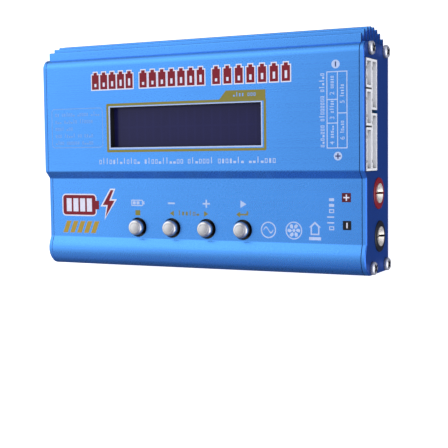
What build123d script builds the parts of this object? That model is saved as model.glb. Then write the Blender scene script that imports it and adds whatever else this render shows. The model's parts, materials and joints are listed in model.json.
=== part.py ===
"""Hobby balance charger: a finned aluminium case with a display, four push buttons and side sockets.

Frame: X along the case, Y from the front face to the rear fins, Z up out of the control face.
The origin is on the surface the rubber feet rest on, under the middle of the case. Millimetres.
"""

from build123d import *
import math
import os

os.makedirs("parts", exist_ok=True)

# ------------------------------------------------------------------ driving dimensions
case_length = 133.0
case_depth = 87.0
body_height = 27.5
foot_height = 2.5
wall = 1.6
plate_thickness = 1.8

shell_half = case_length / 2 - plate_thickness
plate_face_x = case_length / 2
base_z = foot_height
face_z = foot_height + body_height
front_y = -case_depth / 2
fin_tip_y = case_depth / 2
rear_y = 37.4
inner_rear_y = rear_y - wall
inner_base_z = base_z + wall

# control face: an upper panel for the display and a lower, sunk panel for the buttons
panel_drop = 2.66
panel_z = face_z - panel_drop
step_top_y = -6.65
step_foot_y = step_top_y - panel_drop
panel_front_y = -32.35
crest_slope = math.radians(23.5)
crest_z = panel_z + (panel_front_y - front_y) * math.tan(crest_slope)
base_edge_radius = 2.0
front_edge_radius = 6.35
panel_edge_radius = 0.8
step_foot_radius = 0.5
rear_edge_radius = 3.5

# cooling fins along the rear, their tips on one shallow arc
fin_count = 8
fin_pitch = 3.35
fin_thickness = 1.4
fin_middle_z = 15.3
fin_arc_radius = 22.4
fin_root = 0.6
fin_edge_radius = 0.4
fin_heights = [fin_middle_z + (i - (fin_count - 1) / 2) * fin_pitch for i in range(fin_count)]
fin_arc_middle_y = fin_tip_y - math.sqrt(fin_arc_radius**2 - (fin_pitch / 2) ** 2)
joint_z = fin_middle_z
joint_tongue = 1.2
joint_tongue_height = 4.0

# screws that hold the end plates, as (y, z) in each plate
end_screw_points = [(35.4, 23.5), (35.4, 7.0), (-40.95, 21.5), (-40.95, 6.0)]
boss_radius = 2.5
thread_radius = 1.1
shank_clearance = 0.02
plate_hole_radius = 1.45
plate_edge = 0.35
plate_seam = 0.3
end_head_radius = 2.35
end_head_height = 1.5
end_shank_length = 8.0

# screws: rounding and cross recess as shares of the head, the recess taper and turn in degrees
head_round_share = 0.5
recess_length_share = 1.55
recess_width_share = 0.46
recess_depth_share = 0.75
recess_taper = 8
recess_turn = 40
small_head_radius = 2.2
small_head_height = 1.4

# display window and module
window_x = -3.6
window_y = 10.25
window_width = 63.6
window_height = 15.4
display_recess = 2.8
lcd_pcb_width = 80.0
lcd_pcb_depth = 36.0
lcd_pcb_top_z = 20.3
lcd_post_spacing = (75.0, 31.0)

# push buttons
button_names = ["battery_type", "decrease", "increase", "start"]
button_pitch = 14.85
button_xs = [-25.3 + i * button_pitch for i in range(len(button_names))]
button_y = -28.05
button_hole_radius = 3.75
cap_radius = 3.0
cap_top_z = panel_z + 3.1
cap_bottom_z = panel_z + 0.6
neck_radius = 2.8

# balance sockets: shrouded 2.5 mm headers in two rows, just proud of the right plate
xh_pitch = 2.5
xh_end = 2.45
xh_depth = 5.75
xh_height = 7.0
xh_wall = 0.8
xh_floor = 1.6
xh_notch_width = 1.0
xh_notch_share = 0.6
xh_pin_width = 0.64
xh_pin_recess = 1.2
xh_face_x = plate_face_x + 0.2
balance_top_y = 31.75
balance_row_z = [25.05, 19.2]
balance_window_gap = 0.25
balance_length = 38.5
balance_centre = (balance_top_y - balance_length / 2, sum(balance_row_z) / 2)
balance_window = (
    balance_length + 2 * balance_window_gap,
    balance_row_z[0] - balance_row_z[1] + xh_depth + 2 * balance_window_gap,
)

# 4 mm output sockets, as (y, z) in the right plate
positive_point = (-14.9, 14.4)
negative_point = (-30.3, 13.1)
collar_radius = 5.65
collar_body_radius = 4.25
contact_radius = 3.5
contact_bore_radius = 2.0
contact_bore_depth = 15.0
contact_mouth_radius = 3.1
contact_mouth_depth = 1.6
collar_face_x = plate_face_x + 0.45
contact_face_x = plate_face_x + 0.7
contact_end_wall = 1.5
contact_back_x = contact_face_x - contact_mouth_depth - contact_bore_depth - contact_end_wall

# circuit board and what stands on it
pcb_thickness = 1.6
pcb_bottom_z = 8.1
pcb_top_z = pcb_bottom_z + pcb_thickness
pcb_left_x = -62.0
pcb_right_x = 61.5
pcb_front_y = -37.5
pcb_rear_y = 31.5
pcb_post_points = [(x, y) for x in (-50.0, 46.0) for y in (-31.0, 25.0)]
post_radius = 2.5
post_bore_radius = 1.25
post_hole_radius = 1.3
post_shank_radius = post_bore_radius - shank_clearance

# inlet and sensor socket in the left plate
jack_y = -24.0
jack_axis_z = pcb_top_z + 6.5
jack_bore_radius = 3.15
jack_pin_radius = 1.25
jack_collar_radius = 4.4
jack_bore_depth = 11.0
sensor_y = -8.5
sensor_z = pcb_top_z + xh_depth / 2


# ------------------------------------------------------------------ shared shapes
def fin_reach(z):
    """Y of a fin's tip at height z."""
    return fin_arc_middle_y + math.sqrt(fin_arc_radius**2 - (z - fin_middle_z) ** 2)


def xh_length(positions):
    """Overall length of a shrouded header with this many pins."""
    return (positions - 1) * xh_pitch + 2 * xh_end


def pan_screw(head_radius, head_height, shank_radius, shank_length):
    """Cross-recessed pan head screw along +Z, its head seated on Z = 0."""
    with BuildPart() as screw:
        with BuildSketch():
            Circle(head_radius)
        extrude(amount=head_height)
        fillet(edges().group_by(Axis.Z)[-1], head_height * head_round_share)
        with BuildSketch():
            Circle(shank_radius)
        extrude(amount=-shank_length)
        with BuildSketch(Plane.XY.offset(head_height)):
            with Locations(Location((0, 0), recess_turn)):
                Rectangle(head_radius * recess_length_share, head_radius * recess_width_share)
                Rectangle(head_radius * recess_width_share, head_radius * recess_length_share)
        extrude(amount=-head_height * recess_depth_share, taper=recess_taper, mode=Mode.SUBTRACT)
    return screw.part


def flat_screw(head_radius, head_height, shank_radius, shank_length):
    """Countersunk screw along +Z, its flat head's top on Z = 0."""
    with BuildPart() as screw:
        with BuildSketch(Plane.XZ):
            with BuildLine():
                Polyline(
                    (0, 0),
                    (head_radius, 0),
                    (shank_radius, -head_height),
                    (shank_radius, -shank_length),
                    (0, -shank_length),
                    close=True,
                )
            make_face()
        revolve(axis=Axis.Z)
        with BuildSketch():
            Rectangle(head_radius * recess_length_share, head_radius * recess_width_share)
            Rectangle(head_radius * recess_width_share, head_radius * recess_length_share)
        extrude(amount=-head_height * recess_depth_share, taper=recess_taper, mode=Mode.SUBTRACT)
    return screw.part


def tube(outer_radius, inner_radius, height):
    """Plain spacer standing on Z = 0."""
    with BuildPart() as spacer:
        with BuildSketch():
            Circle(outer_radius)
            Circle(inner_radius, mode=Mode.SUBTRACT)
        extrude(amount=height)
    return spacer.part


def xh_shroud(positions, plane, height):
    """Header shroud on a plane whose X runs along the row and whose Z points out of its mouth."""
    length = xh_length(positions)
    with BuildPart() as shroud:
        with BuildSketch(plane):
            Rectangle(length, xh_depth)
            with GridLocations(xh_pitch, xh_pitch, positions, 1):
                Rectangle(xh_pin_width, xh_pin_width, mode=Mode.SUBTRACT)
        extrude(amount=xh_floor)
        with BuildSketch(plane.offset(xh_floor)):
            Rectangle(length, xh_depth)
            Rectangle(length - 2 * xh_wall, xh_depth - 2 * xh_wall, mode=Mode.SUBTRACT)
        extrude(amount=height - xh_floor)
        with BuildSketch(plane.offset(height)):
            with Locations((0, (xh_depth - xh_wall) / 2)):
                with GridLocations(length - 3 * xh_end + xh_wall, 0, 2, 1):
                    Rectangle(xh_notch_width, xh_wall)
        extrude(amount=-(height - xh_floor) * xh_notch_share, mode=Mode.SUBTRACT)
    return shroud.part


def xh_pins(positions, plane, height):
    """The row of square pins of one header."""
    with BuildPart() as pins:
        with BuildSketch(plane):
            with GridLocations(xh_pitch, xh_pitch, positions, 1):
                Rectangle(xh_pin_width, xh_pin_width)
        extrude(amount=height - xh_pin_recess)
    return pins.part


# ------------------------------------------------------------------ case
with BuildSketch(Plane.YZ) as case_profile:
    with BuildLine():
        FilletPolyline(
            (front_y, base_z),
            (front_y, crest_z),
            (panel_front_y, panel_z),
            (step_foot_y, panel_z),
            (step_top_y, face_z),
            (rear_y, face_z),
            (rear_y, base_z),
            radius=[
                base_edge_radius,
                front_edge_radius,
                panel_edge_radius,
                step_foot_radius,
                panel_edge_radius,
                rear_edge_radius,
                base_edge_radius,
            ],
            close=True,
        )
    make_face()


def shell_section(keep_above):
    """Cross-section of one half of the case: its wall, its fins and its two screw channels."""
    with BuildSketch() as section:
        add(case_profile.sketch_local)
        offset(amount=-wall, mode=Mode.SUBTRACT)
        for height in fin_heights:
            tip_y = fin_reach(height)
            with Locations(((rear_y - fin_root + tip_y) / 2, height)):
                RectangleRounded(tip_y - rear_y + fin_root, fin_thickness, fin_edge_radius)
        with Locations(*end_screw_points):
            Circle(boss_radius)
            Circle(thread_radius, mode=Mode.SUBTRACT)
        side = -1 if keep_above else 1
        with Locations((0, joint_z + side * body_height)):
            Rectangle(2 * case_depth, 2 * body_height, mode=Mode.SUBTRACT)
    return section.sketch


with BuildPart() as upper_shell:
    with BuildSketch(Plane.YZ.offset(-shell_half)):
        add(shell_section(keep_above=True))
    extrude(amount=2 * shell_half)
    # display window
    with BuildSketch(Plane.XY.offset(face_z)):
        with Locations((window_x, window_y)):
            Rectangle(window_width, window_height)
    extrude(amount=-2 * wall, mode=Mode.SUBTRACT)
    # button holes
    with Locations(*[(x, button_y, panel_z) for x in button_xs]):
        Hole(radius=button_hole_radius, depth=2 * wall)
    # clearance for the balance sockets behind the right plate
    with BuildSketch(Plane.YZ.offset(shell_half)):
        with Locations(balance_centre):
            Rectangle(*balance_window)
    extrude(amount=-xh_height, mode=Mode.SUBTRACT)
upper_shell.part.label = "upper_shell"
export_step(upper_shell.part, "parts/upper_shell.step")

base_head_radius = 2.35
base_head_height = 1.2
with BuildPart() as lower_shell:
    with BuildSketch(Plane.YZ.offset(-shell_half)):
        add(shell_section(keep_above=False))
        # tongue that guides the upper shell along the front joint
        tongue_y = front_y + wall + joint_tongue / 2
        with Locations((tongue_y, joint_z - joint_tongue_height / 2)):
            Rectangle(joint_tongue, joint_tongue_height)
        with Locations((tongue_y + 0.1, joint_z + joint_tongue_height / 4)):
            Rectangle(joint_tongue - 0.2, joint_tongue_height / 2)
    extrude(amount=2 * shell_half)
    with Locations(*[Location((x, y, base_z), (180, 0, 0)) for x, y in pcb_post_points]):
        CounterSinkHole(
            radius=post_hole_radius, counter_sink_radius=base_head_radius + 0.05, depth=2 * wall
        )
lower_shell.part.label = "lower_shell"
export_step(lower_shell.part, "parts/lower_shell.step")

with BuildPart() as right_end_plate:
    with BuildSketch(Plane.YZ.offset(shell_half)):
        add(case_profile.sketch_local)
        with Locations(*end_screw_points):
            Circle(plate_hole_radius, mode=Mode.SUBTRACT)
        with Locations(balance_centre):
            Rectangle(*balance_window, mode=Mode.SUBTRACT)
        with Locations(positive_point, negative_point):
            Circle(collar_body_radius, mode=Mode.SUBTRACT)
    extrude(amount=plate_thickness)
    chamfer(faces().sort_by(Axis.X)[-1].outer_wire().edges(), plate_edge)
    chamfer(faces().sort_by(Axis.X)[0].outer_wire().edges(), plate_seam)
right_end_plate.part.label = "right_end_plate"
export_step(right_end_plate.part, "parts/right_end_plate.step")

sensor_positions = 3
sensor_window = (xh_length(sensor_positions) + 0.4, xh_depth + 0.2)
with BuildPart() as left_end_plate:
    with BuildSketch(Plane.YZ.offset(-shell_half)):
        add(case_profile.sketch_local)
        with Locations(*end_screw_points):
            Circle(plate_hole_radius, mode=Mode.SUBTRACT)
        with Locations((jack_y, jack_axis_z)):
            Circle(jack_collar_radius + 0.2, mode=Mode.SUBTRACT)
        with Locations((sensor_y, sensor_z)):
            Rectangle(*sensor_window, mode=Mode.SUBTRACT)
    extrude(amount=-plate_thickness)
    chamfer(faces().sort_by(Axis.X)[0].outer_wire().edges(), plate_edge)
    chamfer(faces().sort_by(Axis.X)[-1].outer_wire().edges(), plate_seam)
left_end_plate.part.label = "left_end_plate"
export_step(left_end_plate.part, "parts/left_end_plate.step")

# ------------------------------------------------------------------ case fasteners and feet
end_screw = pan_screw(
    end_head_radius, end_head_height, thread_radius - shank_clearance, end_shank_length
)

with BuildPart() as right_end_screws:
    with Locations(*[Location((plate_face_x, y, z), (0, 90, 0)) for y, z in end_screw_points]):
        add(end_screw)
right_end_screws.part.label = "right_end_screws"
export_step(right_end_screws.part, "parts/right_end_screws.step")

with BuildPart() as left_end_screws:
    with Locations(*[Location((-plate_face_x, y, z), (0, -90, 0)) for y, z in end_screw_points]):
        add(end_screw)
left_end_screws.part.label = "left_end_screws"
export_step(left_end_screws.part, "parts/left_end_screws.step")

foot_radius = 4.5
foot_edge = 0.5
foot_points = [(x, y) for x in (-57.0, 57.0) for y in (-36.0, 30.0)]
with BuildPart() as rubber_feet:
    with BuildSketch():
        with Locations(*foot_points):
            Circle(foot_radius)
    extrude(amount=foot_height)
    chamfer(edges().filter_by(GeomType.CIRCLE).group_by(Axis.Z)[0], foot_edge)
rubber_feet.part.label = "rubber_feet"
export_step(rubber_feet.part, "parts/rubber_feet.step")

# ------------------------------------------------------------------ main board and its fixings
socket_notch_y = (positive_point[0] + negative_point[0]) / 2
socket_notch_width = positive_point[0] - negative_point[0] + 2 * collar_radius
with BuildPart() as main_pcb:
    with BuildSketch(Plane.XY.offset(pcb_bottom_z)):
        with Locations(((pcb_left_x + pcb_right_x) / 2, (pcb_front_y + pcb_rear_y) / 2)):
            Rectangle(pcb_right_x - pcb_left_x, pcb_rear_y - pcb_front_y)
        with Locations(*pcb_post_points):
            Circle(post_hole_radius, mode=Mode.SUBTRACT)
        # notch for the output sockets, whose tags stand on its inner edge
        with Locations(((contact_back_x + pcb_right_x) / 2, socket_notch_y)):
            Rectangle(pcb_right_x - contact_back_x, socket_notch_width, mode=Mode.SUBTRACT)
    extrude(amount=pcb_thickness)
main_pcb.part.label = "main_pcb"
export_step(main_pcb.part, "parts/main_pcb.step")

with BuildPart() as pcb_standoffs:
    with Locations(*[(x, y, inner_base_z) for x, y in pcb_post_points]):
        add(tube(post_radius, post_bore_radius, pcb_bottom_z - inner_base_z))
pcb_standoffs.part.label = "pcb_standoffs"
export_step(pcb_standoffs.part, "parts/pcb_standoffs.step")

pcb_shank_length = 3.4
with BuildPart() as base_screws:
    with Locations(*[Location((x, y, base_z), (180, 0, 0)) for x, y in pcb_post_points]):
        add(flat_screw(base_head_radius, base_head_height, post_shank_radius - 0.05, pcb_shank_length))
base_screws.part.label = "base_screws"
export_step(base_screws.part, "parts/base_screws.step")

with BuildPart() as pcb_screws:
    with Locations(*[(x, y, pcb_top_z) for x, y in pcb_post_points]):
        add(pan_screw(small_head_radius, small_head_height, post_shank_radius, pcb_shank_length))
pcb_screws.part.label = "pcb_screws"
export_step(pcb_screws.part, "parts/pcb_screws.step")

# ------------------------------------------------------------------ power parts on the main board
# each toroid: x, y, outer radius and height over its winding
toroids = [(46.5, 8.0, 9.0, 7.0), (-51.0, 5.0, 6.8, 6.0)]
core_bore_share = 0.5
wire_thickness = 0.9
winding_turns = 12
with BuildPart() as inductor_cores:
    for x, y, outer_radius, height in toroids:
        with BuildSketch(Plane.XY.offset(pcb_top_z + wire_thickness)):
            with Locations((x, y)):
                Circle(outer_radius - wire_thickness)
                Circle(outer_radius * core_bore_share + 0.05, mode=Mode.SUBTRACT)
        extrude(amount=height - 2 * wire_thickness)
inductor_cores.part.label = "inductor_cores"
export_step(inductor_cores.part, "parts/inductor_cores.step")

with BuildPart() as inductor_windings:
    for x, y, outer_radius, height in toroids:
        hollow_inside = outer_radius * core_bore_share
        span = outer_radius - hollow_inside + wire_thickness
        for turn in range(winding_turns):
            angle = 360 * turn / winding_turns
            radial = Plane(
                Location((x, y, pcb_top_z), (0, 0, angle))
                * Location(((outer_radius + hollow_inside - wire_thickness) / 2, 0, height / 2), (90, 0, 0))
            )
            with BuildSketch(radial.offset(-wire_thickness / 2)):
                Rectangle(span, height)
                Rectangle(span - 2 * wire_thickness, height - 2 * wire_thickness, mode=Mode.SUBTRACT)
            extrude(amount=wire_thickness)
inductor_windings.part.label = "inductor_windings"
export_step(inductor_windings.part, "parts/inductor_windings.step")

capacitor_radius = 4.0
capacitor_height = 12.5
capacitor_edge = 0.5
capacitor_points = [(32.0, -33.0), (32.0, -23.0), (41.0, -22.0), (41.0, -12.5)]
with BuildPart() as capacitors:
    with BuildSketch(Plane.XY.offset(pcb_top_z)):
        with Locations(*capacitor_points):
            Circle(capacitor_radius)
    extrude(amount=capacitor_height)
    fillet(edges().filter_by(GeomType.CIRCLE), capacitor_edge)
capacitors.part.label = "capacitors"
export_step(capacitors.part, "parts/capacitors.step")

chip_centre = (0.0, 8.0)
chip_width = 14.0
chip_corner = 1.0
chip_height = 1.6
chip_mark_inset = 2.0
with BuildPart() as microcontroller:
    with BuildSketch(Plane.XY.offset(pcb_top_z)):
        with Locations(chip_centre):
            Rectangle(chip_width, chip_width)
            chamfer(vertices(), chip_corner)
    extrude(amount=chip_height)
    mark_reach = chip_width / 2 - chip_mark_inset
    with Locations(
        (chip_centre[0] - mark_reach, chip_centre[1] + mark_reach, pcb_top_z + chip_height)
    ):
        Hole(radius=0.6, depth=0.3)
microcontroller.part.label = "microcontroller"
export_step(microcontroller.part, "parts/microcontroller.step")

buzzer_centre = (-39.5, -20.0)
buzzer_radius = 6.0
buzzer_height = 8.0
buzzer_edge = 0.5
buzzer_port_radius = 1.0
buzzer_port_depth = 2.0
with BuildPart() as buzzer:
    with BuildSketch(Plane.XY.offset(pcb_top_z)):
        with Locations(buzzer_centre):
            Circle(buzzer_radius)
    extrude(amount=buzzer_height)
    with Locations((*buzzer_centre, pcb_top_z + buzzer_height)):
        Hole(radius=buzzer_port_radius, depth=buzzer_port_depth)
    fillet(edges().group_by(Axis.Z)[-1].sort_by(SortBy.RADIUS)[-1], buzzer_edge)
buzzer.part.label = "buzzer"
export_step(buzzer.part, "parts/buzzer.step")

resistor_grid_centre = (20.0, 10.0)
resistor_pitch = (8.0, 5.0)
resistor_counts = (2, 6)
resistor_size = (6.3, 3.1)
resistor_height = 0.6
with BuildPart() as balance_resistors:
    with BuildSketch(Plane.XY.offset(pcb_top_z)):
        with Locations(resistor_grid_centre):
            with GridLocations(*resistor_pitch, *resistor_counts):
                Rectangle(*resistor_size)
    extrude(amount=resistor_height)
balance_resistors.part.label = "balance_resistors"
export_step(balance_resistors.part, "parts/balance_resistors.step")

# heat path to the finned wall: transistors lie on edge against a bar that spans the case joint
bar_thickness = 2.3
bar_bottom_z = 10.0
bar_height = 10.6
bar_end_gap = 9.0
bar_face_y = inner_rear_y - bar_thickness
transistor_xs = [-41.0, -16.0, 9.0, 34.0]
tab_size = (15.0, 10.0)
tab_thickness = 1.3
tab_hole_radius = 1.55
tab_hole_dx = 4.6
moulding_size = (9.0, 10.0)
moulding_height = 3.0
moulding_draft = 3
moulding_dx = (moulding_size[0] - tab_size[0]) / 2
leg_pitch = 2.54
leg_width = 0.8
leg_thickness = 0.5
leg_root_dx = moulding_dx - moulding_size[0] / 2 + 0.5
transistor_z = pcb_top_z + 5.3
with BuildPart() as heat_bar:
    with BuildSketch(Plane.XZ.offset(-bar_face_y)):
        with Locations((0, bar_bottom_z + bar_height / 2)):
            Rectangle(2 * (shell_half - bar_end_gap), bar_height)
        with Locations(*[(x + tab_hole_dx, transistor_z) for x in transistor_xs]):
            Circle(tab_hole_radius, mode=Mode.SUBTRACT)
    extrude(amount=-bar_thickness)
heat_bar.part.label = "heat_bar"
export_step(heat_bar.part, "parts/heat_bar.step")

with BuildPart() as power_transistors:
    # metal tabs, flat on the bar
    with BuildSketch(Plane.XZ.offset(-bar_face_y)):
        with Locations(*[(x, transistor_z) for x in transistor_xs]):
            Rectangle(*tab_size)
        with Locations(*[(x + tab_hole_dx, transistor_z) for x in transistor_xs]):
            Circle(tab_hole_radius, mode=Mode.SUBTRACT)
    extrude(amount=tab_thickness)
    # moulded bodies
    with BuildSketch(Plane.XZ.offset(-bar_face_y + tab_thickness)):
        with Locations(*[(x + moulding_dx, transistor_z) for x in transistor_xs]):
            Rectangle(*moulding_size)
    extrude(amount=moulding_height, taper=moulding_draft)
    # legs bent down to the board
    for x in transistor_xs:
        for leg in range(3):
            leg_y = bar_face_y - tab_thickness - moulding_height / 2
            leg_z = transistor_z + (leg - 1) * leg_pitch
            leg_x = x + leg_root_dx - leg_thickness - 1.5 * leg_width * (leg + 1)
            with BuildSketch(Plane.XZ.offset(-leg_y)):
                with BuildLine():
                    Polyline(
                        (x + leg_root_dx, leg_z + leg_width / 2),
                        (leg_x, leg_z + leg_width / 2),
                        (leg_x, pcb_top_z),
                        (leg_x + leg_width, pcb_top_z),
                        (leg_x + leg_width, leg_z - leg_width / 2),
                        (x + leg_root_dx, leg_z - leg_width / 2),
                        close=True,
                    )
                make_face()
            extrude(amount=leg_thickness)
power_transistors.part.label = "power_transistors"
export_step(power_transistors.part, "parts/power_transistors.step")

tab_head_radius = 2.6
tab_head_height = 1.8
tab_shank_length = 3.4
with BuildPart() as transistor_screws:
    tab_face_y = bar_face_y - tab_thickness
    with Locations(
        *[Location((x + tab_hole_dx, tab_face_y, transistor_z), (90, 0, 0)) for x in transistor_xs]
    ):
        add(
            pan_screw(
                tab_head_radius, tab_head_height, tab_hole_radius - shank_clearance, tab_shank_length
            )
        )
transistor_screws.part.label = "transistor_screws"
export_step(transistor_screws.part, "parts/transistor_screws.step")

# ------------------------------------------------------------------ display module
lcd_pcb_bottom_z = lcd_pcb_top_z - pcb_thickness
lcd_plane = Plane((window_x, window_y, 0))
glass_top_z = face_z - display_recess
bezel_top_z = face_z - wall - 0.05
glass_size = (69.0, 22.0)
glass_bottom_z = lcd_pcb_top_z + 4.0
bezel_size = (71.2, 24.2)
bezel_gap = 0.3
board_shank_length = 5.0
with BuildPart() as lcd_pcb:
    with BuildSketch(lcd_plane.offset(lcd_pcb_bottom_z)):
        Rectangle(lcd_pcb_width, lcd_pcb_depth)
        with GridLocations(*lcd_post_spacing, 2, 2):
            Circle(post_bore_radius, mode=Mode.SUBTRACT)
    extrude(amount=pcb_thickness)
lcd_pcb.part.label = "lcd_pcb"
export_step(lcd_pcb.part, "parts/lcd_pcb.step")

with BuildPart() as lcd_backlight:
    with BuildSketch(lcd_plane.offset(lcd_pcb_top_z)):
        Rectangle(*glass_size)
    extrude(amount=glass_bottom_z - lcd_pcb_top_z)
lcd_backlight.part.label = "lcd_backlight"
export_step(lcd_backlight.part, "parts/lcd_backlight.step")

with BuildPart() as lcd_glass:
    with BuildSketch(lcd_plane.offset(glass_bottom_z)):
        Rectangle(*glass_size)
    extrude(amount=glass_top_z - glass_bottom_z)
lcd_glass.part.label = "lcd_glass"
export_step(lcd_glass.part, "parts/lcd_glass.step")

bezel_aperture = (window_width + 2 * bezel_gap, window_height + 2 * bezel_gap)
with BuildPart() as lcd_bezel:
    with BuildSketch(lcd_plane.offset(lcd_pcb_top_z)):
        Rectangle(*bezel_size)
        Rectangle(*glass_size, mode=Mode.SUBTRACT)
    extrude(amount=glass_top_z - lcd_pcb_top_z)
    with BuildSketch(lcd_plane.offset(glass_top_z)):
        Rectangle(*bezel_size)
        Rectangle(*bezel_aperture, mode=Mode.SUBTRACT)
    extrude(amount=bezel_top_z - glass_top_z)
lcd_bezel.part.label = "lcd_bezel"
export_step(lcd_bezel.part, "parts/lcd_bezel.step")

with BuildPart() as lcd_standoffs:
    with Locations(lcd_plane.offset(pcb_top_z)):
        with GridLocations(*lcd_post_spacing, 2, 2):
            add(tube(post_radius, post_bore_radius, lcd_pcb_bottom_z - pcb_top_z))
lcd_standoffs.part.label = "lcd_standoffs"
export_step(lcd_standoffs.part, "parts/lcd_standoffs.step")

lcd_header_offset = (-9.0, 15.0)
lcd_header_size = (40.6, 2.5)
header_corner = 0.4
with BuildPart() as lcd_header:
    with BuildSketch(lcd_plane.offset(pcb_top_z)):
        with Locations(lcd_header_offset):
            Rectangle(*lcd_header_size)
    extrude(amount=lcd_pcb_bottom_z - pcb_top_z)
    chamfer(edges().filter_by(Axis.Z), header_corner)
lcd_header.part.label = "lcd_header"
export_step(lcd_header.part, "parts/lcd_header.step")

# ------------------------------------------------------------------ key board and buttons
key_pcb_bottom_z = 19.0
key_pcb_top_z = 20.2
key_pcb_size = (60.0, 15.5)
key_middle_x = (button_xs[0] + button_xs[-1]) / 2
key_plane = Plane((key_middle_x, button_y, 0))
key_post_spacing = (54.0, 10.0)
switch_width = 6.0
switch_corner = 0.4
switch_top_z = key_pcb_top_z + 3.5
switch_well_depth = 1.8
plunger_radius = 1.7
plunger_entry = 1.0
plunger_edge = 0.2
flange_radius = 4.3
flange_bottom_z = 24.7
flange_top_z = panel_z - wall - 0.1
with BuildPart() as key_pcb:
    with BuildSketch(key_plane.offset(key_pcb_bottom_z)):
        Rectangle(*key_pcb_size)
        with GridLocations(*key_post_spacing, 2, 2):
            Circle(post_bore_radius, mode=Mode.SUBTRACT)
    extrude(amount=key_pcb_top_z - key_pcb_bottom_z)
key_pcb.part.label = "key_pcb"
export_step(key_pcb.part, "parts/key_pcb.step")

with BuildPart() as key_standoffs:
    with Locations(key_plane.offset(pcb_top_z)):
        with GridLocations(*key_post_spacing, 2, 2):
            add(tube(post_radius, post_bore_radius, key_pcb_bottom_z - pcb_top_z))
key_standoffs.part.label = "key_standoffs"
export_step(key_standoffs.part, "parts/key_standoffs.step")

with BuildPart() as board_screws:
    with Locations(lcd_plane.offset(lcd_pcb_top_z)):
        with GridLocations(*lcd_post_spacing, 2, 2):
            add(pan_screw(small_head_radius, small_head_height, post_shank_radius, board_shank_length))
    with Locations(key_plane.offset(key_pcb_top_z)):
        with GridLocations(*key_post_spacing, 2, 2):
            add(pan_screw(small_head_radius, small_head_height, post_shank_radius, board_shank_length))
board_screws.part.label = "board_screws"
export_step(board_screws.part, "parts/board_screws.step")

with BuildPart() as switch_housings:
    with BuildSketch(Plane.XY.offset(key_pcb_top_z)):
        with Locations(*[(x, button_y) for x in button_xs]):
            Rectangle(switch_width, switch_width)
    extrude(amount=switch_top_z - key_pcb_top_z)
    chamfer(edges().filter_by(Axis.Z), switch_corner)
    # each well is deeper than its plunger by more than the 0.5 mm the button travels
    with Locations(*[(x, button_y, switch_top_z) for x in button_xs]):
        Hole(radius=plunger_radius + 0.1, depth=switch_well_depth)
switch_housings.part.label = "switch_housings"
export_step(switch_housings.part, "parts/switch_housings.step")

cap_edge_radius = 1.1
cap_crown_radius = 14.0
cap_shoulder_z = cap_top_z - cap_crown_radius + math.sqrt(cap_crown_radius**2 - cap_radius**2)
crown_middle_x = cap_radius / 2
crown_middle_z = cap_top_z - cap_crown_radius + math.sqrt(cap_crown_radius**2 - crown_middle_x**2)
with BuildPart() as button_cap:
    with BuildSketch(Plane.XZ):
        with BuildLine():
            Polyline((0, cap_top_z), (0, cap_bottom_z), (cap_radius, cap_bottom_z))
            Line((cap_radius, cap_bottom_z), (cap_radius, cap_shoulder_z))
            ThreePointArc((cap_radius, cap_shoulder_z), (crown_middle_x, crown_middle_z), (0, cap_top_z))
        make_face()
        fillet(vertices().sort_by_distance((cap_radius, cap_shoulder_z))[0], cap_edge_radius)
    revolve(axis=Axis.Z)

for name, x in zip(button_names, button_xs):
    with BuildPart() as plunger:
        with BuildSketch(Plane.XY.offset(switch_top_z - plunger_entry)):
            with Locations((x, button_y)):
                Circle(plunger_radius)
        extrude(amount=flange_bottom_z - switch_top_z + plunger_entry)
        chamfer(edges().group_by(Axis.Z)[0], plunger_edge)
        # flange that keeps the cap in its hole
        with BuildSketch(Plane.XY.offset(flange_bottom_z)):
            with Locations((x, button_y)):
                Circle(flange_radius)
        extrude(amount=flange_top_z - flange_bottom_z)
        # neck that carries the cap clear of the panel
        with BuildSketch(Plane.XY.offset(flange_top_z)):
            with Locations((x, button_y)):
                Circle(neck_radius)
        extrude(amount=cap_bottom_z - flange_top_z)
    plunger.part.label = f"{name}_plunger"
    export_step(plunger.part, f"parts/{name}_plunger.step")

    with BuildPart() as button:
        with Locations((x, button_y, 0)):
            add(button_cap.part)
    button.part.label = f"{name}_button"
    export_step(button.part, f"parts/{name}_button.step")

# ------------------------------------------------------------------ balance sockets
balance_back_x = xh_face_x - xh_height
balance_pcb_width = 39.0
balance_pcb_plane = Plane(
    (balance_back_x - pcb_thickness, balance_centre[0], 0), x_dir=(0, 1, 0), z_dir=(1, 0, 0)
)
balance_pcb_top_z = 28.0
with BuildPart() as balance_pcb:
    with BuildSketch(balance_pcb_plane):
        with Locations((0, (pcb_top_z + balance_pcb_top_z) / 2)):
            Rectangle(balance_pcb_width, balance_pcb_top_z - pcb_top_z)
    extrude(amount=pcb_thickness)
balance_pcb.part.label = "balance_pcb"
export_step(balance_pcb.part, "parts/balance_pcb.step")

# the front row holds the 2, 3 and 4 cell sockets from the top, the rear row the 5 and 6 cell ones
balance_rows = [(balance_row_z[0], [2, 3, 4]), (balance_row_z[1], [5, 6])]
for row_z, cells_in_row in balance_rows:
    used = sum(xh_length(cells + 1) for cells in cells_in_row)
    gap = (balance_length - used) / (len(cells_in_row) - 1)
    top_y = balance_top_y
    for cells in cells_in_row:
        length = xh_length(cells + 1)
        socket_plane = Plane(
            (balance_back_x, top_y - length / 2, row_z), x_dir=(0, 1, 0), z_dir=(1, 0, 0)
        )
        shroud = xh_shroud(cells + 1, socket_plane, xh_height)
        shroud.label = f"balance_socket_{cells}_cell"
        export_step(shroud, f"parts/balance_socket_{cells}_cell.step")
        pins = xh_pins(cells + 1, socket_plane, xh_height)
        pins.label = f"balance_pins_{cells}_cell"
        export_step(pins, f"parts/balance_pins_{cells}_cell.step")
        top_y -= length + gap

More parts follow.
